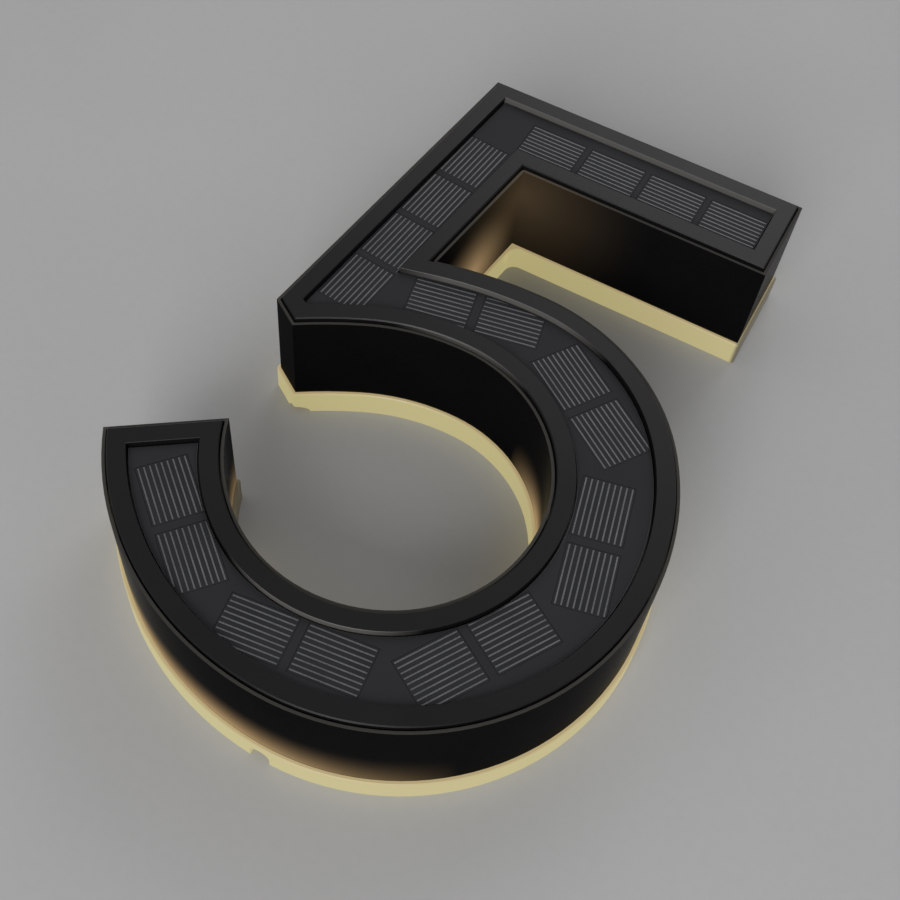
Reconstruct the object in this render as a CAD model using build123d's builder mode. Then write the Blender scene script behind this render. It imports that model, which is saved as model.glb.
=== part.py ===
from build123d import *
import os
from functools import lru_cache
from math import atan2, cos, degrees, radians, sin

# Illuminated house number sign, the digit 5, lying face up on its back. All sizes in millimetres.
# The digit is drawn in its own coordinates: X to the right, Y up the digit, and the origin at the
# outer top left corner, where the bar meets the stem.

# ---- the digit's outline -------------------------------------------------------------------------
digit_height = 204.0
bar_length = 98.2
bar_height = 29.5
inner_corner_x = 23.55           # corner between the bar's underside and the stem
notch_point = (18.25, -72.4)     # where the stem meets the bowl
bowl_top = (49.8, -68.25)        # highest point of the bowl
bowl_top_radius = 59.0
bowl_bottom_x = 43.8
bowl_lower_radius = 67.5
terminal_outer = (-26.9, -163.2)
terminal_inner = (-1.7, -144.9)
bowl_hole_centre = (39.5, -135.85)
bowl_hole_radius = 40.2
terminal_arc_angle = 230.3       # where the terminal's inner arc leaves the round hole
crotch_point = (12.0, -102.2)
tip_right = (-3.8, -111.6)
tip_left = (-12.0, -106.3)

# ---- depths and walls ----------------------------------------------------------------------------
guide_height = 8.2               # acrylic band that shows below the metal
guide_proud = 1.0                # how far the acrylic stands out past the metal
guide_wall = 5.0                 # from the digit's outline to the acrylic's inner face
guide_edge_chamfer = 0.3
guide_corner_radius = 3.5        # of the acrylic where the bar meets the stem
seal_thickness = 0.3
seal_width = 0.75
metal_depth = 31.8               # from the acrylic to the front of the rim
band_thickness = 0.8
band_step = 1.25                 # from the rim's front down to the edge of the side wall
rim_gap = 0.4                    # joint between the side wall and the rim
rim_width = 4.85
rim_height = 3.9
rim_outer_chamfer = 0.3
rim_inner_chamfer = 0.1
face_plate_thickness = 1.5
pad_thickness = 0.8
panel_thickness = 1.6
panel_gap = 0.45                 # shadow gap between the rim and the face board
panel_chamfer = 0.15
fit_gap = 0.1                    # between a piece and the wall that holds it
spigot_height = 3.0
spigot_thickness = 1.55
spigot_gap = 0.15
tray_thickness = 1.5
tray_gap = 0.2
cover_thickness = 3.0
cover_edge = 2.8                 # from the digit's outline to the back cover's edge
rebate_gap = 0.1
gasket_thickness = 0.5
gasket_inset = 0.1
strip_gap = 1.6                  # room for the lamps between the acrylic and their strip
strip_thickness = 0.4
strip_clearance = 0.4            # below the strip and above it
rib_thickness = 1.2
rib_clearance = 0.3

# ---- weep notches in the acrylic -----------------------------------------------------------------
weep_width = 5.6
weep_height = 5.6
tip_weep_radius = 2.5

# ---- solar cells ---------------------------------------------------------------------------------
finger_pitch = 1.467
finger_length = 16.55
finger_width = 0.38
finger_thickness = 0.08
cell_thickness = 0.32
cell_end_margin = 0.35
cell_side_margin = 0.7
cell_fit = 0.1                   # round each cell in its pocket
cell_edge_margin = 0.35          # kept clear along the face board's edge
row_cells = 4
row_fingers = 9
stem_row_offset = 12.8           # of the row's first cell, from the stem's outer edge
stem_row_start = 32.0
stem_row_lean = 5.8              # of the row, in degrees from the digit's upright
stem_row_pitch = 19.1
bar_row_start = 26.3
bar_row_depth = 17.0             # below the bar's top edge
bar_row_pitch = 19.0
pair_pitch = 19.6
# place round the hole in degrees, turn away from the tangent, distance from the hole's edge
bowl_pairs = [
    (94.2, 7.5, 13.3),
    (49.8, 6.5, 14.7),
    (5.7, 7.5, 13.8),
    (-38.4, 7.5, 13.8),
    (-84.2, 1.7, 13.3),
    (-130.7, 0.3, 12.7),
]
bowl_fingers = (9, 10, 9, 10, 9, 9)

# ---- lamps ---------------------------------------------------------------------------------------
lamp_pitch = 16.7
lamp_length = 2.8
lamp_depth = 1.3
lamp_height = 3.5
lamp_edge_share = 0.8            # of the pitch, the shortest edge that gets a lamp

# ---- screws --------------------------------------------------------------------------------------
screw_fit = 0.05                 # between a screw's thread and its tapped hole
cover_screw_radius = 1.45
cover_screw_clearance = 0.25
cover_screw_head_radius = 2.8
cover_screw_head_height = 1.4
cover_screw_grip = 10.0          # length of thread inside the pillar
cover_screw_recess = 0.2         # head below the back face
drive_width = 0.7
drive_length = 3.0
drive_depth = 0.9
head_clearance = 0.3
rim_screw_radius = 0.75
rim_screw_head_radius = 1.4
rim_screw_head_height = 1.0
rim_screw_depth = 2.4            # thread inside the rim
rim_screw_pitch = 60.0
rim_screw_shortest = 20.0        # edge that gets a screw
small_screw_radius = 0.8
small_screw_head_radius = 1.8
small_screw_head_height = 1.3

# ---- pillars and wall inserts --------------------------------------------------------------------
pillar_radius = 3.5
pillar_foot_radius = 2.5
pillar_hole_clearance = 0.2
pillar_gap = 0.3                 # between a pillar's foot and the cover's rib
pillar_offset = 14.3             # from the hole's edge to the pillars round the bowl
pillar_angles = (68, 24, -20, -64, -104, -145)
notch_pillar = (22.8, -84.9)
insert_radius = 2.5
insert_bore_radius = 1.65        # drilled and tapped M4
insert_length = 6.3
insert_recess = 0.2
insert_boss_radius = 4.0
insert_boss_roof = 0.9
insert_spacing = 9.4             # in the bar, from a pillar to the wall insert beside it
insert_bowl_angles = (-42, -125)

# ---- battery and its holder ----------------------------------------------------------------------
battery_radius = 7.25
battery_length = 50.0
battery_nub_radius = 2.75
battery_nub_height = 1.0
battery_clearance = 0.15
holder_wall = 1.5
holder_width = 17.5
holder_side_height = 9.5
holder_end_height = 13.0
spring_space = 2.5
contact_thickness = 0.5
contact_width = 8.0
battery_spring_radius = 3.0
battery_spring_wire = 0.35
battery_spring_turns = 3
holder_screw_spacing = 30.0

# ---- control board on the stem, measured from the stem's outer edge and from the digit's top -----
board_offset = 12.9
board_along = 58.4
board_width = 15.0
board_length = 44.0
board_thickness = 1.6
board_boss_height = 3.0
board_boss_radius = 2.2
board_hole_inset = 1.9
board_corner_radius = 0.95
board_hole_clearance = 0.3
board_screw_bite = 2.5           # thread inside the tray's boss
chip_size = (7.0, 7.0, 1.2)
chip_chamfer = 0.2
inductor_radius = 3.4
inductor_height = 4.5
inductor_rounding = 0.7
inductor_place = (-3.0, -11.0)   # from the board's middle
capacitor_radius = 3.0
capacitor_height = 8.0
capacitor_rounding = 0.5
capacitor_place = (3.75, -11.0)
connector_size = (3.2, 5.0, 4.0)
connector_offset = 1.9           # of a side connector from the board's middle
panel_connector_along = 11.0     # of the face board's connector, up from the board's middle
lead_radius = 0.7
lead_bend = 3.0
lead_hole_gap = 0.6
led_drop_along = 83.9            # where the lamp lead passes the tray
terminal_size = (3.6, 3.0, 2.0)      # plug of the lamp strip, against the cover's rib

# ---- on/off button in the back -------------------------------------------------------------------
switch_offset = 17.8
switch_along = 85.9
button_radius = 3.0
button_recess = 0.5              # below the back face at rest
button_flange_radius = 3.9
button_flange_thickness = 0.8
button_travel = 1.2
button_gap = 0.3
button_edge = 0.3
button_lip = 1.6                 # thickness of the cover's lip round the button
plunger_radius = 1.6
plunger_length = 3.3
plunger_gap = 0.05
plunger_room = 0.2               # above the pressed plunger
washer_thickness = 0.3
switch_radius = 4.8
switch_height = 4.9
switch_cavity_height = 2.6
button_spring_radius = 2.7
button_spring_wire = 0.25
button_spring_turns = 3

# ---- heights, from the back face up --------------------------------------------------------------
total_depth = guide_height + metal_depth
band_bottom = guide_height + seal_thickness
band_top = total_depth - band_step
face_top = total_depth - rim_height
face_bottom = face_top - face_plate_thickness
panel_bottom = face_top + pad_thickness
panel_top = panel_bottom + panel_thickness
cell_top = panel_top - finger_thickness
cell_bottom = cell_top - cell_thickness
gasket_top = cover_thickness + gasket_thickness
tray_bottom = guide_height
tray_top = tray_bottom + tray_thickness
board_bottom = tray_top + board_boss_height
board_top = board_bottom + board_thickness
lead_level = board_top + connector_size[2] / 2

# ---- insets from the digit's outline, from the outside in ----------------------------------------
rim_outer = band_thickness + rim_gap
rim_inner = rim_outer + rim_width
panel_inset = rim_inner + panel_gap
spigot_outer = band_thickness + spigot_gap
spigot_inner = spigot_outer + spigot_thickness
strip_outer = guide_wall + strip_gap
rib_outer = strip_outer + strip_thickness
rib_inner = rib_outer + rib_thickness

# ---- points that follow from the outline ---------------------------------------------------------
bowl_bottom = (bowl_bottom_x, -digit_height)
bowl_right = (bowl_bottom_x + bowl_lower_radius, bowl_lower_radius - digit_height)
bowl_run = bowl_right[0] - bowl_top[0]
bowl_drop = bowl_top[1] - bowl_right[1]
# radius of the arc down to the bowl's right side, so that it meets the top arc smoothly
bowl_side_radius = (
    (bowl_run**2 + bowl_drop**2 - 2 * bowl_drop * bowl_top_radius)
    / (2 * (bowl_run - bowl_top_radius))
)
top_arc_centre = Vector(bowl_top[0], bowl_top[1] - bowl_top_radius)
side_arc_centre = Vector(bowl_right[0] - bowl_side_radius, bowl_right[1])
shoulder = side_arc_centre + (top_arc_centre - side_arc_centre).normalized() * bowl_side_radius
hole_centre = Vector(*bowl_hole_centre)
hole_top = hole_centre + Vector(0, bowl_hole_radius)
stem_down = Vector(*tip_left).normalized()
stem_across = Vector(-stem_down.Y, stem_down.X)


def heading(direction):
    """Angle of a plan direction, in degrees from the X axis."""
    return degrees(atan2(direction.Y, direction.X))


def around_hole(angle, radius):
    """Point at an angle round the bowl's hole, in digit coordinates."""
    return (hole_centre.X + radius * cos(radians(angle)), hole_centre.Y + radius * sin(radians(angle)))


def on_stem(offset, along):
    """Digit coordinates of a point on the stem: from its outer edge, and down from the digit's top."""
    point = stem_across * offset + stem_down * along
    return (point.X, point.Y)


stem_angle = heading(stem_across)
panel_lead_place = on_stem(board_offset, board_along - panel_connector_along)

# ---- the outline, as straight lines and tangent arcs ---------------------------------------------
hole_start = around_hole(terminal_arc_angle, bowl_hole_radius)
hole_start_tangent = (sin(radians(terminal_arc_angle)), -cos(radians(terminal_arc_angle)))
turn_to_top = 360 + 90 - terminal_arc_angle
with BuildLine() as outline:
    Polyline((0, 0), (bar_length, 0), (bar_length, -bar_height), (inner_corner_x, -bar_height), notch_point)
    notch_arc = TangentArc(bowl_top, notch_point, tangent=(-1, 0))
    TangentArc(bowl_top, (shoulder.X, shoulder.Y), tangent=(1, 0))
    TangentArc(bowl_right, (shoulder.X, shoulder.Y), tangent=(0, 1))
    TangentArc(bowl_right, bowl_bottom, tangent=(0, -1))
    TangentArc(bowl_bottom, terminal_outer, tangent=(-1, 0))
    Line(terminal_outer, terminal_inner)
    TangentArc(hole_start, terminal_inner, tangent=hole_start_tangent)
    CenterArc(bowl_hole_centre, bowl_hole_radius, terminal_arc_angle, turn_to_top)
    crotch_arc = TangentArc((hole_top.X, hole_top.Y), crotch_point, tangent=(-1, 0))
    crotch_direction = crotch_arc % 1
    TangentArc(crotch_point, tip_right, tangent=(crotch_direction.X, crotch_direction.Y))
    Polyline(tip_right, tip_left, (0, 0))


@lru_cache(maxsize=None)
def digit_face(grow=0.0, sharp=False):
    """Face of the digit grown outwards, or shrunk where grow is negative. Sharp keeps inner corners."""
    with BuildSketch() as sketch:
        make_face(outline.edges())
        if grow:
            offset(amount=grow, kind=Kind.ARC)
        if sharp:
            stem_edge = (Vector(inner_corner_x, -bar_height) - Vector(*notch_point)).normalized()
            stem_normal = Vector(-stem_edge.Y, stem_edge.X)
            arc_direction = notch_arc % 1
            arc_normal = Vector(-arc_direction.Y, arc_direction.X)
            corners = [((inner_corner_x, -bar_height), Vector(0, 1), stem_normal)]
            corners.append((notch_point, stem_normal, arc_normal))
            for corner, first_normal, second_normal in corners:
                peak = (first_normal + second_normal) * (1 / (1 + first_normal.dot(second_normal)))
                kite = [Vector(), first_normal, peak, second_normal]
                points = [(corner[0] - grow * point.X, corner[1] - grow * point.Y) for point in kite]
                with BuildLine():
                    Polyline(*points, close=True)
                make_face(mode=Mode.SUBTRACT)
    return sketch.sketch


# The part's origin is the middle of the acrylic's box, on the back face.
middle = digit_face(guide_proud).bounding_box().center()


def level(height):
    """Horizontal plane at a height, in digit coordinates."""
    return Plane(origin=(-middle.X, -middle.Y, height))


def ring(outer, inner, sharp=False):
    """Sketch of a band between two offsets of the digit's outline."""
    add(digit_face(outer, sharp))
    add(digit_face(inner, sharp), mode=Mode.SUBTRACT)


def places_along(inset, pitch, shortest):
    """Locations spaced along the inset outline, edge by edge, so that none stands on a corner."""
    places = []
    for edge in digit_face(-inset).edges():
        count = int(edge.length / pitch + 0.5)
        if edge.length < shortest:
            continue
        count = max(count, 1)
        for index in range(count):
            share = (index + 0.5) / count
            point = edge @ share
            tangent = edge % share
            places.append(Location((point.X, point.Y), heading(tangent)))
    return places


def save(part, name):
    """Name a finished piece and write it out."""
    part.part.label = name
    export_step(part.part, f"parts/{name}.step")


os.makedirs("parts", exist_ok=True)
bar_middle = -bar_height / 2
bar_pillar_inset = rib_inner + pillar_foot_radius + pillar_gap
bar_insert_inset = bar_pillar_inset + insert_spacing
pillar_places = [(x, bar_middle) for x in (bar_pillar_inset, bar_length - bar_pillar_inset)]
pillar_places.append(notch_pillar)
pillar_places += [around_hole(angle, bowl_hole_radius + pillar_offset) for angle in pillar_angles]
insert_places = [(x, bar_middle) for x in (bar_insert_inset, bar_length - bar_insert_inset)]
insert_places += [around_hole(angle, bowl_hole_radius + pillar_offset) for angle in insert_bowl_angles]
switch_place = on_stem(switch_offset, switch_along)

# ---- return band: the metal side wall ------------------------------------------------------------
with BuildPart() as return_band:
    with BuildSketch(level(band_bottom)):
        ring(0, -band_thickness)
    extrude(amount=band_top - band_bottom)
save(return_band, "return_band")

# ---- edge seal: thin bead between the metal and the acrylic --------------------------------------
with BuildPart() as edge_seal:
    with BuildSketch(level(guide_height)):
        ring(0, -seal_width)
    extrude(amount=seal_thickness)
save(edge_seal, "edge_seal")

# ---- light guide: acrylic band with a rebate for the cover and a spigot inside the metal ---------
with BuildPart() as light_guide:
    with BuildSketch(level(0)):
        ring(guide_proud, -guide_wall)
    extrude(amount=guide_height)
    corner_spot = (inner_corner_x + guide_proud - middle.X, -bar_height - guide_proud - middle.Y, 0)
    bar_corner = light_guide.edges().filter_by(Axis.Z).sort_by_distance(corner_spot)[0]
    fillet(bar_corner, guide_corner_radius)
    chamfer(light_guide.faces().sort_by(Axis.Z)[-1].outer_wire().edges(), guide_edge_chamfer)
    with BuildSketch(level(0)):
        add(digit_face(-(cover_edge - rebate_gap)))
    extrude(amount=gasket_top, mode=Mode.SUBTRACT)
    with BuildSketch(level(guide_height)):
        ring(-spigot_outer, -spigot_inner)
    extrude(amount=spigot_height)
    weep_depth = guide_proud + cover_edge
    weep_origin = (bowl_bottom[0] - middle.X, bowl_bottom[1] - guide_proud - middle.Y, 0)
    with BuildSketch(Plane(origin=weep_origin, x_dir=(1, 0, 0), z_dir=(0, -1, 0))):
        with Locations((0, weep_height - weep_width / 2)):
            Circle(weep_width / 2)
        Rectangle(weep_width, weep_height - weep_width / 2, align=(Align.CENTER, Align.MIN))
    extrude(amount=-weep_depth, mode=Mode.SUBTRACT)
    tip_edge = (Vector(*tip_right) - Vector(*tip_left)).normalized()
    tip_origin = (tip_right[0] - middle.X, tip_right[1] - middle.Y, 0)
    with BuildSketch(Plane(origin=tip_origin, z_dir=(tip_edge.Y, -tip_edge.X, 0))):
        Circle(tip_weep_radius)
    extrude(amount=weep_depth, both=True, mode=Mode.SUBTRACT)
save(light_guide, "light_guide")

# ---- front bezel: the flat rim round the face ----------------------------------------------------
rim_screw_places = places_along(rim_outer + rim_width / 2, rim_screw_pitch, rim_screw_shortest)
with BuildPart() as front_bezel:
    with BuildSketch(level(face_top)):
        ring(-rim_outer, -rim_inner, sharp=True)
    extrude(amount=rim_height)
    chamfer(front_bezel.faces().sort_by(Axis.Z)[-1].outer_wire().edges(), rim_outer_chamfer)
    chamfer(front_bezel.faces().sort_by(Axis.Z)[-1].inner_wires()[0].edges(), rim_inner_chamfer)
    with BuildSketch(level(face_top)):
        with Locations(*rim_screw_places):
            Circle(rim_screw_radius + screw_fit)
    extrude(amount=rim_screw_depth + screw_fit, mode=Mode.SUBTRACT)
save(front_bezel, "front_bezel")

# ---- face plate: inside the top of the band, under the face board --------------------------------
with BuildPart() as face_plate:
    with BuildSketch(level(face_bottom)):
        add(digit_face(-(band_thickness + fit_gap)))
        with Locations(*rim_screw_places):
            Circle(rim_screw_radius + head_clearance, mode=Mode.SUBTRACT)
        with Locations(panel_lead_place):
            Circle(lead_radius + lead_hole_gap, mode=Mode.SUBTRACT)
    extrude(amount=face_plate_thickness)
save(face_plate, "face_plate")

# ---- rim screws: up through the face plate into the rim ------------------------------------------
with BuildPart() as rim_screws:
    with BuildSketch(level(face_bottom - rim_screw_head_height)):
        with Locations(*rim_screw_places):
            Circle(rim_screw_head_radius)
    extrude(amount=rim_screw_head_height)
    with BuildSketch(level(face_bottom)):
        with Locations(*rim_screw_places):
            Circle(rim_screw_radius)
    extrude(amount=face_plate_thickness + rim_screw_depth)
save(rim_screws, "rim_screws")

# ---- panel pad and panel board: the face, set lower than the rim ---------------------------------
with BuildPart() as panel_pad:
    with BuildSketch(level(face_top)):
        add(digit_face(-panel_inset, True))
        with Locations(panel_lead_place):
            Circle(lead_radius + lead_hole_gap, mode=Mode.SUBTRACT)
    extrude(amount=pad_thickness)
save(panel_pad, "panel_pad")


def cell_layout():
    """Every cell as name, middle in digit coordinates, angle of its fingers and their number."""
    cells = []
    first = Vector(*on_stem(stem_row_offset, stem_row_start))
    row_down = Vector(0, -1).rotate(Axis.Z, -stem_row_lean)
    for index in range(row_cells):
        place = first + row_down * (index * stem_row_pitch)
        cells.append(("stem", (place.X, place.Y), 90 - stem_row_lean, row_fingers))
    for index in range(row_cells):
        cells.append(("bar", (bar_row_start + index * bar_row_pitch, -bar_row_depth), 0, row_fingers))
    for (place_angle, turn, distance), fingers in zip(bowl_pairs, bowl_fingers):
        pair_middle = Vector(*around_hole(place_angle, bowl_hole_radius + distance))
        finger_angle = place_angle + 90 + turn
        along = Vector(1, 0).rotate(Axis.Z, finger_angle) * (pair_pitch / 2)
        for end in (pair_middle + along, pair_middle - along):
            cells.append(("bowl", (end.X, end.Y), finger_angle, fingers))
    return cells


cells = cell_layout()
cell_length = finger_length + 2 * cell_end_margin


def cell_outline(place, angle, fingers, grow=0.0):
    """Sketch of one cell, cut to the face board's shape where it would reach past it."""
    with Locations(Location(place, angle)):
        Rectangle(cell_length + 2 * grow, (fingers - 1) * finger_pitch + 2 * (cell_side_margin + grow))
    add(digit_face(grow - panel_inset - cell_edge_margin, True), mode=Mode.INTERSECT)


with BuildPart() as panel_board:
    with BuildSketch(level(panel_bottom)):
        add(digit_face(-panel_inset, True))
    extrude(amount=panel_thickness)
    chamfer(panel_board.faces().sort_by(Axis.Z)[-1].outer_wire().edges(), panel_chamfer)
    for group, place, angle, fingers in cells:
        with BuildSketch(level(cell_bottom)):
            cell_outline(place, angle, fingers, cell_fit)
        extrude(amount=panel_top - cell_bottom, mode=Mode.SUBTRACT)
save(panel_board, "panel_board")

# ---- solar cells, and the silver fingers on them -------------------------------------------------
for number, (group, place, angle, fingers) in enumerate(cells, start=1):
    with BuildPart() as solar_cell:
        with BuildSketch(level(cell_bottom)):
            cell_outline(place, angle, fingers)
        extrude(amount=cell_thickness)
    save(solar_cell, f"solar_cell_{number:02d}")

for wanted in ("stem", "bar", "bowl"):
    with BuildPart() as cell_fingers:
        with BuildSketch(level(cell_top)):
            for group, place, angle, fingers in cells:
                if group == wanted:
                    with Locations(Location(place, angle)):
                        with GridLocations(1, finger_pitch, 1, fingers):
                            Rectangle(finger_length, finger_width)
            add(digit_face(-panel_inset - cell_edge_margin, True), mode=Mode.INTERSECT)
        extrude(amount=finger_thickness)
    save(cell_fingers, f"cell_fingers_{wanted}")

# ---- back cover: plate, lamp rib, insert bosses, button opening ----------------------------------
rib_height = tray_bottom - cover_thickness - rib_clearance
insert_pocket = insert_recess + insert_length
boss_height = insert_pocket + insert_boss_roof - cover_thickness
with BuildPart() as back_cover:
    with BuildSketch(level(0)):
        add(digit_face(-cover_edge))
    extrude(amount=cover_thickness)
    with BuildSketch(level(cover_thickness)):
        ring(-rib_outer, -rib_inner)
    extrude(amount=rib_height)
    with BuildSketch(level(cover_thickness)):
        with Locations(*insert_places):
            Circle(insert_boss_radius)
    extrude(amount=boss_height)
    with BuildSketch(level(0)):
        with Locations(*insert_places):
            Circle(insert_radius)
    extrude(amount=insert_pocket, mode=Mode.SUBTRACT)
    with BuildSketch(level(0)):
        with Locations(*pillar_places):
            Circle(cover_screw_radius + cover_screw_clearance)
    extrude(amount=cover_thickness, mode=Mode.SUBTRACT)
    with BuildSketch(level(0)):
        with Locations(*pillar_places):
            Circle(cover_screw_head_radius + head_clearance)
    extrude(amount=cover_screw_recess + cover_screw_head_height, mode=Mode.SUBTRACT)
    with BuildSketch(level(0)):
        with Locations(switch_place):
            Circle(button_radius + button_gap)
    extrude(amount=cover_thickness, mode=Mode.SUBTRACT)
    with BuildSketch(level(button_lip)):
        with Locations(switch_place):
            Circle(button_flange_radius + button_gap)
    extrude(amount=cover_thickness - button_lip, mode=Mode.SUBTRACT)
save(back_cover, "back_cover")

# ---- cover gasket --------------------------------------------------------------------------------
with BuildPart() as cover_gasket:
    with BuildSketch(level(cover_thickness)):
        ring(-(cover_edge + gasket_inset), -(guide_wall - gasket_inset))
    extrude(amount=gasket_thickness)
save(cover_gasket, "cover_gasket")

# ---- lamp strip on edge round the rib, with its lamps facing the acrylic -------------------------
strip_bottom = cover_thickness + strip_clearance
strip_top = tray_bottom - strip_clearance
with BuildPart() as led_strip:
    with BuildSketch(level(strip_bottom)):
        ring(-strip_outer, -rib_outer)
    extrude(amount=strip_top - strip_bottom)
save(led_strip, "led_strip")

lamp_inset = strip_outer - lamp_depth / 2
with BuildPart() as led_chips:
    with BuildSketch(level((strip_bottom + strip_top - lamp_height) / 2)):
        with Locations(*places_along(lamp_inset, lamp_pitch, lamp_pitch * lamp_edge_share)):
            Rectangle(lamp_length, lamp_depth)
        add(digit_face(-strip_outer), mode=Mode.SUBTRACT)
    extrude(amount=lamp_height)
save(led_chips, "led_chips")

# ---- inner tray: closes the lamp chamber and carries the electronics -----------------------------
board_place = on_stem(board_offset, board_along)
board_holes_x = board_width - 2 * board_hole_inset
board_holes_y = board_length - 2 * board_hole_inset
holder_length = battery_length + spring_space + battery_nub_height + contact_thickness + 2 * holder_wall
holder_middle = (bar_length / 2, bar_middle)
holder_start = holder_middle[0] - holder_length / 2
battery_start_x = holder_start + holder_wall + spring_space
lead_places = [
    on_stem(board_offset - connector_offset, led_drop_along),
    on_stem(board_offset + connector_offset, led_drop_along),
]
with BuildPart() as inner_tray:
    with BuildSketch(level(tray_bottom)):
        add(digit_face(-(spigot_inner + tray_gap)))
        with Locations(*pillar_places):
            Circle(pillar_foot_radius + pillar_hole_clearance, mode=Mode.SUBTRACT)
        with Locations(*lead_places):
            Circle(lead_radius + lead_hole_gap, mode=Mode.SUBTRACT)
        with Locations(holder_middle):
            with GridLocations(holder_screw_spacing, 1, 2, 1):
                Circle(small_screw_radius + screw_fit, mode=Mode.SUBTRACT)
    extrude(amount=tray_thickness)
    with BuildSketch(level(tray_top)):
        with Locations(Location(board_place, stem_angle)):
            with GridLocations(board_holes_x, board_holes_y, 2, 2):
                Circle(board_boss_radius)
                Circle(small_screw_radius + screw_fit, mode=Mode.SUBTRACT)
    extrude(amount=board_boss_height)
save(inner_tray, "inner_tray")

# ---- pillars between the face plate and the cover, their screws, and the wall inserts ------------
with BuildPart() as standoff_pillars:
    with BuildSketch(level(cover_thickness)):
        with Locations(*pillar_places):
            Circle(pillar_foot_radius)
    extrude(amount=tray_top - cover_thickness)
    with BuildSketch(level(tray_top)):
        with Locations(*pillar_places):
            Circle(pillar_radius)
    extrude(amount=face_bottom - tray_top)
    with BuildSketch(level(cover_thickness)):
        with Locations(*pillar_places):
            Circle(cover_screw_radius + screw_fit)
    extrude(amount=cover_screw_grip + cover_screw_head_height, mode=Mode.SUBTRACT)
save(standoff_pillars, "standoff_pillars")

with BuildPart() as cover_screws:
    with BuildSketch(level(cover_screw_recess)):
        with Locations(*pillar_places):
            Circle(cover_screw_head_radius)
    extrude(amount=cover_screw_head_height)
    with BuildSketch(level(cover_screw_recess + cover_screw_head_height)):
        with Locations(*pillar_places):
            Circle(cover_screw_radius)
    extrude(amount=cover_thickness + cover_screw_grip - cover_screw_recess - cover_screw_head_height)
    with BuildSketch(level(cover_screw_recess)):
        with Locations(*pillar_places):
            Rectangle(drive_length, drive_width)
            Rectangle(drive_width, drive_length)
    extrude(amount=drive_depth, mode=Mode.SUBTRACT)
save(cover_screws, "cover_screws")

with BuildPart() as wall_inserts:
    with BuildSketch(level(insert_recess)):
        with Locations(*insert_places):
            Circle(insert_radius)
            Circle(insert_bore_radius, mode=Mode.SUBTRACT)
    extrude(amount=insert_length)
save(wall_inserts, "wall_inserts")

# ---- battery, its holder, contacts and screws ----------------------------------------------------
battery_axis_height = tray_top + holder_wall + battery_clearance + battery_radius
nub_end = battery_start_x + battery_length + battery_nub_height
with BuildPart() as battery:
    battery_origin = (battery_start_x - middle.X, bar_middle - middle.Y, battery_axis_height)
    with BuildSketch(Plane(origin=battery_origin, x_dir=(0, 1, 0), z_dir=(1, 0, 0))):
        Circle(battery_radius)
    extrude(amount=battery_length)
    with BuildSketch(battery.faces().sort_by(Axis.X)[-1]):
        Circle(battery_nub_radius)
    extrude(amount=battery_nub_height)
save(battery, "battery")

with BuildPart() as battery_holder:
    with BuildSketch(level(tray_top)):
        with Locations(holder_middle):
            Rectangle(holder_length, holder_width)
    extrude(amount=holder_end_height)
    with BuildSketch(level(tray_top + holder_wall)):
        with Locations(holder_middle):
            Rectangle(holder_length - 2 * holder_wall, 2 * (battery_radius + battery_clearance))
    extrude(amount=holder_end_height, mode=Mode.SUBTRACT)
    with BuildSketch(level(tray_top + holder_side_height)):
        with Locations(holder_middle):
            Rectangle(holder_length - 2 * holder_wall, holder_width)
    extrude(amount=holder_end_height, mode=Mode.SUBTRACT)
    with BuildSketch(level(tray_top)):
        with Locations(holder_middle):
            with GridLocations(holder_screw_spacing, 1, 2, 1):
                Circle(small_screw_radius + board_hole_clearance)
    extrude(amount=holder_wall, mode=Mode.SUBTRACT)
    with BuildSketch(level(tray_top + holder_wall - small_screw_head_height)):
        with Locations(holder_middle):
            with GridLocations(holder_screw_spacing, 1, 2, 1):
                Circle(small_screw_head_radius + head_clearance)
    extrude(amount=small_screw_head_height, mode=Mode.SUBTRACT)
save(battery_holder, "battery_holder")

with BuildPart() as holder_screws:
    with BuildSketch(level(tray_bottom)):
        with Locations(holder_middle):
            with GridLocations(holder_screw_spacing, 1, 2, 1):
                Circle(small_screw_radius)
    extrude(amount=tray_thickness + holder_wall)
    with BuildSketch(level(tray_top + holder_wall - small_screw_head_height)):
        with Locations(holder_middle):
            with GridLocations(holder_screw_spacing, 1, 2, 1):
                Circle(small_screw_head_radius)
    extrude(amount=small_screw_head_height)
save(holder_screws, "holder_screws")

with BuildPart() as battery_contact:
    contact_origin = (nub_end - middle.X, bar_middle - middle.Y, battery_axis_height)
    with BuildSketch(Plane(origin=contact_origin, x_dir=(0, 1, 0), z_dir=(1, 0, 0))):
        Rectangle(contact_width, contact_width)
    extrude(amount=contact_thickness)
save(battery_contact, "battery_contact")


def coil_spring(foot, radius, wire, turns, length):
    """Open coil spring of one wire, along a plane's normal from its origin."""
    rise = length - 2 * wire
    with BuildPart() as spring:
        with BuildLine():
            start = foot.offset(wire).origin
            coil = Helix(rise / turns, rise, radius, center=start, direction=foot.z_dir)
        with BuildSketch(Plane(origin=coil @ 0, z_dir=coil % 0)):
            Circle(wire)
        sweep(path=coil, is_frenet=True)
    return spring


spring_origin = (holder_start + holder_wall - middle.X, bar_middle - middle.Y, battery_axis_height)
spring_foot = Plane(origin=spring_origin, x_dir=(0, 1, 0), z_dir=(1, 0, 0))
battery_spring = coil_spring(
    spring_foot, battery_spring_radius, battery_spring_wire, battery_spring_turns, spring_space
)
save(battery_spring, "battery_spring")

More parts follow.
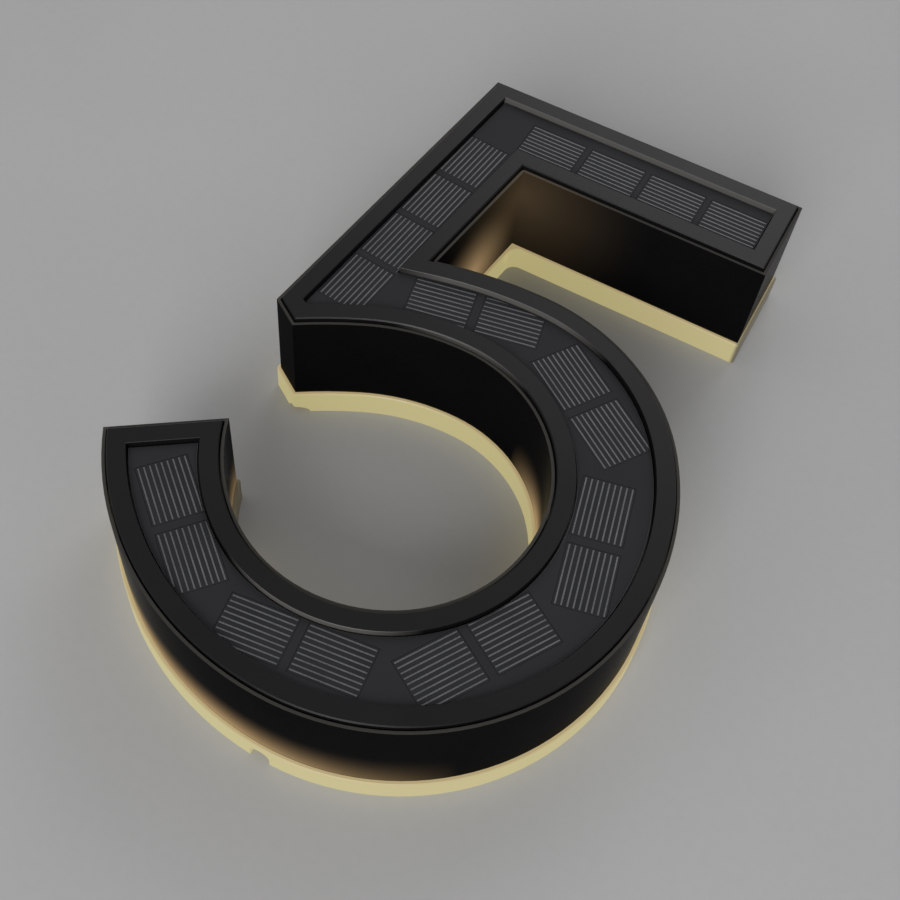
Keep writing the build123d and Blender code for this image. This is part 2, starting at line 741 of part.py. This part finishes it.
# ---- control board with its parts, on the tray's bosses ------------------------------------------
board_spot = Location(board_place, stem_angle)
with BuildPart() as control_board:
    with BuildSketch(level(board_bottom)):
        with Locations(board_spot):
            RectangleRounded(board_width, board_length, board_corner_radius)
            with GridLocations(board_holes_x, board_holes_y, 2, 2):
                Circle(small_screw_radius + board_hole_clearance, mode=Mode.SUBTRACT)
    extrude(amount=board_thickness)
save(control_board, "control_board")

with BuildPart() as board_screws:
    with BuildSketch(level(board_bottom - board_screw_bite)):
        with Locations(board_spot):
            with GridLocations(board_holes_x, board_holes_y, 2, 2):
                Circle(small_screw_radius)
    extrude(amount=board_screw_bite + board_thickness)
    with BuildSketch(level(board_top)):
        with Locations(board_spot):
            with GridLocations(board_holes_x, board_holes_y, 2, 2):
                Circle(small_screw_head_radius)
    extrude(amount=small_screw_head_height)
save(board_screws, "board_screws")

with BuildPart() as controller_chip:
    with BuildSketch(level(board_top)):
        with Locations(board_spot):
            Rectangle(chip_size[0], chip_size[1])
    extrude(amount=chip_size[2])
    chamfer(controller_chip.faces().sort_by(Axis.Z)[-1].edges(), chip_chamfer)
save(controller_chip, "controller_chip")

with BuildPart() as boost_inductor:
    with BuildSketch(level(board_top)):
        with Locations(board_spot):
            with Locations(inductor_place):
                Circle(inductor_radius)
    extrude(amount=inductor_height)
    fillet(boost_inductor.edges().group_by(Axis.Z)[-1], inductor_rounding)
save(boost_inductor, "boost_inductor")

with BuildPart() as board_capacitor:
    with BuildSketch(level(board_top)):
        with Locations(board_spot):
            with Locations(capacitor_place):
                Circle(capacitor_radius)
    extrude(amount=capacitor_height)
    fillet(board_capacitor.edges().group_by(Axis.Z)[-1], capacitor_rounding)
save(board_capacitor, "board_capacitor")

end_reach = board_length / 2 - connector_size[1] / 2
connector_places = [(0, end_reach), (0, panel_connector_along)]
connector_places += [(side * connector_offset, -end_reach) for side in (-1, 1)]
with BuildPart() as board_connectors:
    with BuildSketch(level(board_top)):
        with Locations(board_spot):
            with Locations(*connector_places):
                Rectangle(connector_size[0], connector_size[1])
    extrude(amount=connector_size[2])
save(board_connectors, "board_connectors")


# ---- leads: round wires from piece to piece ------------------------------------------------------
def lead(points):
    """Round lead along a path of points, rounded at its corners."""
    with BuildPart() as wire:
        with BuildLine():
            path = FilletPolyline(*points, radius=lead_bend)
        with BuildSketch(Plane(origin=path @ 0, z_dir=path % 0)):
            Circle(lead_radius)
        sweep(path=path)
    return wire


def spot(place, height):
    """Point in the part's frame above a place in digit coordinates."""
    return (place[0] - middle.X, place[1] - middle.Y, height)


with BuildPart() as panel_lead:
    with BuildSketch(level(board_top + connector_size[2])):
        with Locations(panel_lead_place):
            Circle(lead_radius)
    extrude(amount=panel_bottom - board_top - connector_size[2])
save(panel_lead, "panel_lead")

lead_exit_y = bar_middle - battery_radius + holder_wall
lead_turn_along = (lead_exit_y - on_stem(board_offset, 0)[1]) / stem_down.Y
battery_lead = lead([
    spot((holder_start, lead_exit_y), lead_level),
    spot(on_stem(board_offset, lead_turn_along), lead_level),
    spot(on_stem(board_offset, board_along - board_length / 2), lead_level),
])
save(battery_lead, "battery_lead")

board_foot = board_along + board_length / 2
led_offset = board_offset - connector_offset
led_lead = lead([
    spot(on_stem(led_offset, board_foot), lead_level),
    spot(on_stem(led_offset, led_drop_along), lead_level),
    spot(on_stem(led_offset, led_drop_along), cover_thickness + terminal_size[2]),
])
save(led_lead, "led_lead")

switch_lead_offset = board_offset + connector_offset
switch_lead = lead([
    spot(on_stem(switch_lead_offset, board_foot), lead_level),
    spot(on_stem(switch_lead_offset, led_drop_along), lead_level),
    spot(on_stem(switch_lead_offset, led_drop_along), cover_thickness + switch_height),
])
save(switch_lead, "switch_lead")

with BuildPart() as led_terminal:
    with BuildSketch(level(cover_thickness)):
        terminal_place = on_stem(rib_inner + terminal_size[0] / 2, led_drop_along)
        with Locations(Location(terminal_place, stem_angle)):
            Rectangle(terminal_size[0], terminal_size[1])
    extrude(amount=terminal_size[2])
save(led_terminal, "led_terminal")

# ---- on/off button, its seal, spring and switch --------------------------------------------------
flange_bottom = button_lip + washer_thickness
flange_top = flange_bottom + button_flange_thickness
with BuildPart() as push_button:
    with BuildSketch(level(button_recess)):
        with Locations(switch_place):
            Circle(button_radius)
    extrude(amount=flange_bottom - button_recess)
    fillet(push_button.faces().sort_by(Axis.Z)[0].edges(), button_edge)
    with BuildSketch(level(flange_bottom)):
        with Locations(switch_place):
            Circle(button_flange_radius)
    extrude(amount=button_flange_thickness)
    with BuildSketch(level(flange_top)):
        with Locations(switch_place):
            Circle(plunger_radius)
    extrude(amount=plunger_length)
save(push_button, "push_button")

with BuildPart() as button_seal:
    with BuildSketch(level(button_lip)):
        with Locations(switch_place):
            Circle(button_flange_radius)
            Circle(button_radius + button_gap, mode=Mode.SUBTRACT)
    extrude(amount=washer_thickness)
save(button_seal, "button_seal")

cavity_top = cover_thickness + switch_cavity_height
plunger_limit = flange_top + plunger_length + button_travel + plunger_room
with BuildPart() as switch_body:
    with BuildSketch(level(cover_thickness)):
        with Locations(switch_place):
            Circle(switch_radius)
    extrude(amount=switch_height)
    with BuildSketch(level(cover_thickness)):
        with Locations(switch_place):
            Circle(button_flange_radius + button_gap)
    extrude(amount=switch_cavity_height, mode=Mode.SUBTRACT)
    with BuildSketch(level(cavity_top)):
        with Locations(switch_place):
            Circle(plunger_radius + plunger_gap)
    extrude(amount=plunger_limit - cavity_top, mode=Mode.SUBTRACT)
save(switch_body, "switch_body")

button_spring = coil_spring(
    Plane(origin=spot(switch_place, flange_top)),
    button_spring_radius, button_spring_wire, button_spring_turns, cavity_top - flange_top,
)
save(button_spring, "button_spring")
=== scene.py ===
# %% [markdown]
# # A halo-lit house number
# The sign is the digit five, cut as a hollow metal letter that lies on its back. A band of frosted
# acrylic under the metal glows, and small solar cells in the face charge it. The shapes come from the
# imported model, which is loaded as a fixed frame, so this file is mostly about finishes and light.

# %% Load the frame
import math

import bpy
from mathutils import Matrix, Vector

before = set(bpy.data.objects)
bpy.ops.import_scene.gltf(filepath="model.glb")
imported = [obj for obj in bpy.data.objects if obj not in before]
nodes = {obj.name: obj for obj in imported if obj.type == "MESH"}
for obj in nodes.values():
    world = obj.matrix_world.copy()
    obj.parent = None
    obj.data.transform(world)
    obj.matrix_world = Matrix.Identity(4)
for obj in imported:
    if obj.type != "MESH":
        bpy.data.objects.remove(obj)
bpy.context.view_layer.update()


print("pieces from the packed model:", len(nodes))

# %% [markdown]
# ## Sums written as Python
# A finish is a small network of shader nodes. Wiring it by hand is slow to read, so one class wraps a
# socket and lets ordinary sums stand for Math nodes. Its one method for other nodes takes the node's
# kind, its settings and what goes into its sockets. Plain numbers are worked out in Python instead.
# A place or a direction has three parts, named below as they lie on the sign.

# %% The wrapper for sockets
ACROSS, UP_DIGIT, OUT = 0, 1, 2      # to the right, towards the bar, and away from the wall


class Wire:
    """One shader socket, or only a node tree, that sums and nodes can be built from."""

    def __init__(self, tree, socket=None):
        self.tree = tree
        self.socket = socket

    def node(self, kind, settings=None, inputs=None, output=0):
        """Add a node: settings first, then its sockets by name or number. Returns one output."""
        made = self.tree.nodes.new("ShaderNode" + kind)
        for name, value in (settings or {}).items():
            setattr(made, name, value)
        for name, value in (inputs or {}).items():
            if isinstance(value, Wire):
                self.tree.links.new(value.socket, made.inputs[name])
            else:
                made.inputs[name].default_value = value
        return Wire(self.tree, made.outputs[output])

    def maths(self, operation, first, second):
        """A Math node on two values, each of them a socket or a number."""
        return self.node("Math", {"operation": operation}, {0: first, 1: second})

    def __add__(self, other):
        return self.maths("ADD", self, other)

    def __radd__(self, other):
        return self.maths("ADD", other, self)

    def __sub__(self, other):
        return self.maths("SUBTRACT", self, other)

    def __rsub__(self, other):
        return self.maths("SUBTRACT", other, self)

    def __mul__(self, other):
        return self.maths("MULTIPLY", self, other)

    def __rmul__(self, other):
        return self.maths("MULTIPLY", other, self)

    def __abs__(self):
        return self.node("Math", {"operation": "ABSOLUTE"}, {0: self})

    def between(self, low, high):
        """0 below low, 1 above high, and an even climb from one to the other."""
        return self.node("MapRange", {"clamp": True}, {0: self, 1: low, 2: high, 3: 0.0, 4: 1.0})

    def part(self, axis):
        """One part of a place or a direction."""
        return self.node("SeparateXYZ", inputs={0: self}, output=axis)


print("a socket now takes + - * and abs, and has between and part")

# %% [markdown]
# ## One recipe for a finish
# Real surfaces are never one flat colour. Paint has a fine orange peel and faint clouds, plastic has a
# sparkle of texture, metal has tiny scratches. The recipe below starts each finish with those three:
# a slow cloud and a fine grain that shift colour and roughness, and a bump from the grain. Everything
# is read in the piece's own coordinates, in metres, so a scale of 1000 means one wave per millimetre.

# %% The recipe
NOISE_SPAN = (0.35, 0.65)            # nearly all of a noise lies between these two values
MIX_AMOUNT, MIX_FIRST, MIX_SECOND = 0, 6, 7    # a Mix node's colour sockets share their names with
MIX_RESULT = 2                                 # those for numbers, so they go by number


class Finish:
    """A material under way: its shader, and the waves that every surface has."""

    def __init__(self, name, grain_scale=1500.0, cloud_scale=25.0, **constants):
        self.material = bpy.data.materials.new(name)
        self.material.use_nodes = True
        self.shader = self.material.node_tree.nodes["Principled BSDF"]
        self.wire = Wire(self.material.node_tree)
        self.place = self.wire.node("TexCoord", output="Object")
        self.grain = self.waves(grain_scale, detail=2.0, harshness=0.6)
        self.cloud = self.waves(cloud_scale, detail=3.0, harshness=0.55)
        for socket, value in constants.items():
            self.shader.inputs[socket.replace("_", " ")].default_value = value

    def waves(self, scale, detail, harshness):
        """Noise in the piece's own coordinates, with so many waves per metre."""
        inputs = {"Vector": self.place, "Scale": scale, "Detail": detail, "Roughness": harshness}
        return self.wire.node("TexNoise", inputs=inputs)

    def feed(self, socket, value):
        """Wire a varying value into a socket of the shader."""
        self.wire.tree.links.new(value.socket, self.shader.inputs[socket])

    def mix(self, amount, first, second):
        """Mix two colours. Each is a socket, or its shares of red, green and blue."""
        inputs = {MIX_AMOUNT: amount}
        for socket, colour in ((MIX_FIRST, first), (MIX_SECOND, second)):
            inputs[socket] = (*colour, 1) if isinstance(colour, tuple) else colour
        return self.wire.node("Mix", {"data_type": "RGBA"}, inputs, MIX_RESULT)

    def colour(self, dark, light, grain_share=0.3):
        """Colour between two tones, by the clouds and a little of the grain."""
        waves = self.cloud * (1 - grain_share) + self.grain * grain_share
        tone = self.mix(waves.between(*NOISE_SPAN), dark, light)
        self.feed("Base Color", tone)
        return tone

    def roughness(self, low, high):
        """Roughness between two values, by the grain and the clouds together."""
        waves = (self.grain * 0.5 + self.cloud * 0.5).between(*NOISE_SPAN)
        self.feed("Roughness", waves * (high - low) + low)

    def bump(self, height, strength=0.4):
        """Fine relief from the grain, with its height in metres."""
        inputs = {"Strength": strength, "Distance": height, "Height": self.grain}
        self.feed("Normal", self.wire.node("Bump", inputs=inputs))


print("recipe ready: every finish has waves, colour, roughness and bump")

# %% [markdown]
# ## The rim's paint
# The rim is satin black paint on a metal plate. Seen close, it has a very fine orange peel. Where the
# recess over the face board has a side that faces the digit's foot, a painted highlight in its colour
# shows as a fine light line. Those sides are found by the way they point and by their place up the
# digit.

# %% Satin paint for the rim
def points(finish, axis):
    """How far a surface points along an axis: 1 straight along it, -1 straight against it."""
    return finish.wire.node("NewGeometry", output="Normal").part(axis)


def level(finish):
    """1 where a face lies level, like the front, and 0 where it stands upright, like a side."""
    return abs(points(finish, OUT))


def pool(finish, centre, near, far):
    """A round pool of light: 1 within the near distance of a point, and 0 past the far one."""
    gap = finish.wire.node("VectorMath", {"operation": "DISTANCE"}, {0: finish.place, 1: centre}, 1)
    return 1 - gap.between(near, far)


rim = Finish("rim_satin_black", grain_scale=1800, cloud_scale=30, Specular_IOR_Level=0.24)
paint = rim.colour(dark=(0.0045, 0.0045, 0.005), light=(0.0065, 0.0065, 0.0071))
# Painted highlight: a light tone mixed into the paint where recess sides face the foot, for the light
# they catch
painted_recess_highlight = (0.125, 0.121, 0.113)
faces_foot = 1 - points(rim, UP_DIGIT).between(-0.6, -0.3)
along_bar = rim.place.part(UP_DIGIT).between(0.084, 0.088)
bowl_top = pool(rim, centre=(-0.002, 0.031, 0.039), near=0.018, far=0.034)
bowl_foot = pool(rim, centre=(0.002, -0.072, 0.039), near=0.014, far=0.025)
in_recess = along_bar + bowl_top + bowl_foot
rim.feed("Base Color", rim.mix(in_recess * faces_foot, paint, painted_recess_highlight))
rim.roughness(0.34, 0.42)
rim.bump(height=0.00002)
print("made", rim.material.name)

# %% [markdown]
# ## The side wall's paint
# The real wall is gloss black over a dark table, so it mirrors darkness and looks like deep black.
# Over this pale floor the same gloss would turn it grey, so its shine is taken down to almost nothing.
# What it picks up from the glowing acrylic is then painted on as light of its own: round the foot of
# the bowl and at the right of its hole a warm light climbs from the wall's lowest millimetres and
# fades, and two broader pools of it lie on the walls between the bar and the stem. Elsewhere the wall
# is dark down to the acrylic. Its narrow top edge, outside the rim, is a little lighter: a painted
# highlight.

# %% Gloss paint for the side wall
wall = Finish("wall_gloss_black", grain_scale=900, cloud_scale=20, Specular_IOR_Level=0.001)
black = wall.colour(dark=(0.004, 0.004, 0.0044), light=(0.0065, 0.0065, 0.007))
# Painted highlight: the level top edge of the wall gets a lighter tone, for the light its arris
# catches
painted_top_edge_highlight = (0.055, 0.053, 0.048)
wall.feed("Base Color", wall.mix(level(wall).between(0.6, 0.9), black, painted_top_edge_highlight))
wall.roughness(0.16, 0.24)
wall.bump(height=0.00001, strength=0.2)
print("made", wall.material.name)

# %% Warm light on the side wall
acrylic_top, light_end = 0.0085, 0.0235
near_acrylic = 1 - wall.place.part(OUT).between(acrylic_top, light_end)
foot_light = pool(wall, centre=(-0.028, -0.095, 0.01), near=0.02, far=0.075)
hole_light = pool(wall, centre=(0.036, -0.016, 0.01), near=0.006, far=0.026)
low_light = near_acrylic * near_acrylic * (foot_light + hole_light)
bar_light = pool(wall, centre=(-0.018, 0.0725, 0.03), near=0.0, far=0.044)
stem_light = pool(wall, centre=(-0.0225, 0.05, 0.014), near=0.0, far=0.023)
bar_share, stem_share = 0.12, 0.85
broad_light = bar_share * bar_light * bar_light + stem_share * stem_light * stem_light
unevenness = 0.7 + 0.6 * wall.cloud
no_light, warm_light = (0, 0, 0), (0.5, 0.33, 0.16)
picked_up = wall.mix((low_light + broad_light) * unevenness, no_light, warm_light)
wall.feed("Emission Color", picked_up)
wall.shader.inputs["Emission Strength"].default_value = 0.8
print("added warm light to", wall.material.name)

# %% [markdown]
# ## The face board, the cells and their silver lines
# The face board is a dark board with a matt mask, a little lighter than the rim. Its bevelled edge has
# a painted highlight, a lighter tone in its colour. Each cell is a thin slice of silicon with a matt
# dark coat of nearly the same tone, so mainly its silver lines show. They are printed paste: not quite
# even, with tiny breaks in their brightness.

# %% Matt mask for the face board
board = Finish("board_matt_mask", grain_scale=2200, cloud_scale=35, Specular_IOR_Level=0.16)
mask = board.colour(dark=(0.0192, 0.0197, 0.0214), light=(0.025, 0.0255, 0.0278))
# Painted highlight: the board's bevel gets a lighter tone, for the light that edge catches
painted_bevel_highlight = (0.12, 0.12, 0.118)
lean = level(board)
on_bevel = lean.between(0.5, 0.65) * (1 - lean.between(0.8, 0.95))
board.feed("Base Color", board.mix(on_bevel, mask, painted_bevel_highlight))
board.roughness(0.62, 0.72)
board.bump(height=0.00002)
print("made", board.material.name)

# %% Silicon and silver for the cells
silicon = Finish("cell_silicon", grain_scale=700, cloud_scale=90, Specular_IOR_Level=0.16)
silicon.colour(dark=(0.018, 0.0188, 0.0214), light=(0.0238, 0.0246, 0.0278))
silicon.roughness(0.58, 0.68)
silicon.bump(height=0.00001, strength=0.3)

silver = Finish("cell_silver_print", grain_scale=2500, cloud_scale=120, Metallic=0.3)
silver.colour(dark=(0.082, 0.084, 0.088), light=(0.145, 0.147, 0.15), grain_share=0.6)
silver.roughness(0.4, 0.55)
silver.bump(height=0.00003)
print("made", silicon.material.name, silver.material.name)

# %% [markdown]
# ## The glowing acrylic
# Lamps inside the sign shine into a frosted acrylic band. Seen from outside, the band glows in a warm
# pale yellow that drifts a little towards orange, and its narrow top ledge is more orange still,
# because that light has travelled along the acrylic. The end of the bar and the inner side of the
# digit's terminal get no light, so the band stays dark there. A dull bead closes the joint above it.

# %% Lit acrylic and the joint above it
acrylic = Finish("acrylic_lit", grain_scale=1200, cloud_scale=14, Specular_IOR_Level=0.4)
acrylic.colour(dark=(0.19, 0.175, 0.12), light=(0.22, 0.2, 0.14))
acrylic.roughness(0.35, 0.45)
acrylic.bump(height=0.00002, strength=0.3)
yellow, orange_yellow = (1.0, 0.89, 0.38), (1.0, 0.84, 0.4)
ledge_orange, dark_acrylic = (0.88, 0.66, 0.3), (0.03, 0.02, 0.008)
side_glow = acrylic.mix(acrylic.cloud.between(0.35, 0.7), yellow, orange_yellow)
band_glow = acrylic.mix(level(acrylic).between(0.5, 0.9), side_glow, ledge_orange)
right_of_bar = acrylic.place.part(ACROSS).between(0.0556, 0.0566)
above_bowl = acrylic.place.part(UP_DIGIT).between(0.05, 0.06)
terminal_side = pool(acrylic, centre=(-0.0425, -0.048, 0.004), near=0.01, far=0.016)
unlit = right_of_bar * above_bowl + terminal_side
acrylic.feed("Emission Color", acrylic.mix(unlit, band_glow, dark_acrylic))
acrylic.shader.inputs["Emission Strength"].default_value = 0.38

seal = Finish("seal_bead", grain_scale=1500, cloud_scale=60, Specular_IOR_Level=0.3)
seal.colour(dark=(0.035, 0.03, 0.016), light=(0.055, 0.046, 0.026))
seal.roughness(0.6, 0.75)
seal.bump(height=0.00003)
print("made", acrylic.material.name, seal.material.name)

# %% [markdown]
# ## The back and what is inside
# From behind, the sign shows a textured plastic cover with its screws, brass inserts and a rubber
# button. Inside are a white tray, green boards, a battery and wires. Each of these gets its own
# tones, grain and gloss from the same recipe.

# %% The other finishes
def plain(name, dark, light, roughness, grain=1500.0, relief=0.00003, **constants):
    """A finish from the recipe alone."""
    finish = Finish(name, grain_scale=grain, **constants)
    finish.colour(dark, light)
    finish.roughness(*roughness)
    finish.bump(relief)
    return finish


def metal(name, dark, light, roughness):
    """A bare metal, with a fine and shallow grain."""
    return plain(name, dark, light, roughness, grain=2500, relief=0.00002, Metallic=1.0)


zinc = metal("zinc_bright", (0.45, 0.45, 0.46), (0.6, 0.6, 0.61), (0.25, 0.4))
brass = metal("brass_turned", (0.5, 0.36, 0.15), (0.66, 0.5, 0.22), (0.22, 0.38))
aluminium = metal("aluminium_turned", (0.55, 0.55, 0.57), (0.7, 0.7, 0.72), (0.3, 0.42))
print("metals:", [finish.material.name for finish in (zinc, brass, aluminium)])

# %% Plastics, rubber, foam and paint
black_plastic = plain("plastic_textured_black", (0.02, 0.02, 0.021), (0.03, 0.03, 0.031),
                      (0.5, 0.65), grain=1600, relief=0.0001)
white_plastic = plain("plastic_matt_white", (0.7, 0.7, 0.68), (0.78, 0.78, 0.76), (0.5, 0.6))
rubber = plain("rubber_soft_black", (0.016, 0.016, 0.016), (0.024, 0.024, 0.024),
               (0.65, 0.8), grain=2000, relief=0.00006)
foam = plain("foam_tape", (0.025, 0.025, 0.026), (0.04, 0.04, 0.042),
             (0.8, 0.95), grain=1400, relief=0.0002)
plate_paint = plain("plate_primer", (0.05, 0.05, 0.054), (0.07, 0.07, 0.074), (0.45, 0.6))
moulded = plain("moulded_black", (0.014, 0.014, 0.015), (0.022, 0.022, 0.023), (0.35, 0.5))
cream = plain("moulded_cream", (0.6, 0.56, 0.45), (0.68, 0.64, 0.52), (0.4, 0.5))
print("finishes so far:", len(bpy.data.materials))

# %% Boards, wires, battery and lamps
circuit = plain("circuit_green_mask", (0.015, 0.1, 0.035), (0.022, 0.14, 0.05), (0.3, 0.42))
film = plain("strip_white_film", (0.62, 0.62, 0.6), (0.72, 0.72, 0.7), (0.4, 0.55))
insulation = plain("wire_red", (0.28, 0.01, 0.01), (0.38, 0.018, 0.016), (0.3, 0.42))
wrap = plain("battery_green_wrap", (0.01, 0.13, 0.06), (0.015, 0.18, 0.09), (0.22, 0.32))
phosphor = plain("lamp_phosphor", (0.75, 0.6, 0.2), (0.85, 0.7, 0.28), (0.4, 0.5),
                 Emission_Color=(1.0, 0.8, 0.45, 1), Emission_Strength=1.0)
print("finishes so far:", len(bpy.data.materials))

# %% [markdown]
# ## Giving each piece its finish
# A table names the finish of every node. The cells and their lines share one finish each.

# %% The table of finishes
finish_of = {
    "front_bezel": rim, "return_band": wall, "panel_board": board, "light_guide": acrylic,
    "edge_seal": seal, "panel_pad": foam, "face_plate": plate_paint, "rim_screws": zinc,
    "back_cover": black_plastic, "cover_gasket": rubber, "cover_screws": zinc, "wall_inserts": brass,
    "standoff_pillars": aluminium, "inner_tray": white_plastic,
    "push_button": rubber, "button_seal": rubber, "button_spring": zinc, "switch_body": moulded,
    "led_strip": film, "led_chips": phosphor, "led_terminal": cream,
    "battery": wrap, "battery_holder": moulded, "battery_spring": zinc, "battery_contact": zinc,
    "holder_screws": zinc, "control_board": circuit, "board_screws": zinc, "board_connectors": cream,
    "board_capacitor": moulded, "boost_inductor": moulded, "controller_chip": moulded,
    "panel_lead": insulation, "battery_lead": insulation, "led_lead": insulation,
    "switch_lead": insulation,
}
for name, piece in nodes.items():
    if name.startswith("solar_cell"):
        finish = silicon
    elif name.startswith("cell_fingers"):
        finish = silver
    else:
        finish = finish_of[name]
    for slot in piece.material_slots:
        slot.material = finish.material
print("nodes with a finish:", sum(1 for piece in nodes.values() if piece.material_slots))

# %% [markdown]
# ## Floor, light and camera
# The sign lies on a plain pale floor under soft studio light. One wide lamp stands low beyond its top,
# so the rim shines most at the bar and the bowl's top. A second one in front picks out the edges that
# face the foot, and an even pale world does the rest. The camera stands where the photograph was taken
# from, looking steeply down from the right of the digit's foot.

# %% The floor
floor_width = 6.0      # metres, so that its edges lie far behind the sign in any view
bpy.ops.object.select_all(action="DESELECT")
bpy.ops.mesh.primitive_plane_add(size=floor_width, location=(0, 0, 0))
floor = bpy.context.object
floor.name = "studio_floor"
floor_finish = Finish("floor_pale", grain_scale=400, cloud_scale=6, Specular_IOR_Level=0.1)
floor_finish.colour(dark=(0.43, 0.43, 0.43), light=(0.46, 0.46, 0.46))
floor_finish.roughness(0.8, 0.9)
floor.data.materials.append(floor_finish.material)
print("floor", [round(side, 2) for side in floor.dimensions])

# %% The lamps and the world
def soft_lamp(name, place, width, watts):
    """A square area lamp that faces the middle of the sign's back."""
    data = bpy.data.lights.new(name, "AREA")
    data.size = width
    data.energy = watts
    lamp = bpy.data.objects.new(name, data)
    bpy.context.scene.collection.objects.link(lamp)
    lamp.location = place
    lamp.rotation_euler = (-Vector(place)).to_track_quat("-Z", "Y").to_euler()
    print(name, "at", place, "with", watts, "W")


soft_lamp("far_lamp", place=(-0.05, 1.25, 0.85), width=0.9, watts=4.6)
soft_lamp("front_lamp", place=(0.2, -1.2, 0.8), width=0.7, watts=11)
world = bpy.data.worlds.new("studio_world")
bpy.context.scene.world = world
world.use_nodes = True
sky = world.node_tree.nodes["Background"].inputs
sky["Color"].default_value = (0.9, 0.9, 0.9, 1)
sky["Strength"].default_value = 0.5
bpy.context.scene.view_settings.view_transform = "Standard"
print("world", world.name)

# %% The camera
camera_place = (0.07622, -0.19041, 0.31557)      # metres
camera_turn = (32.567, -2.288, 29.465)           # degrees
camera_data = bpy.data.cameras.new("photo_camera")
camera_data.sensor_width = 36.0
camera_data.lens = 53.06
camera_data.shift_x = 0.055
camera_data.shift_y = 0.008
camera_data.clip_start = 0.01
camera = bpy.data.objects.new("photo_camera", camera_data)
bpy.context.scene.collection.objects.link(camera)
camera.location = camera_place
camera.rotation_euler = [math.radians(angle) for angle in camera_turn]
bpy.context.scene.camera = camera
print("camera at", camera_place)
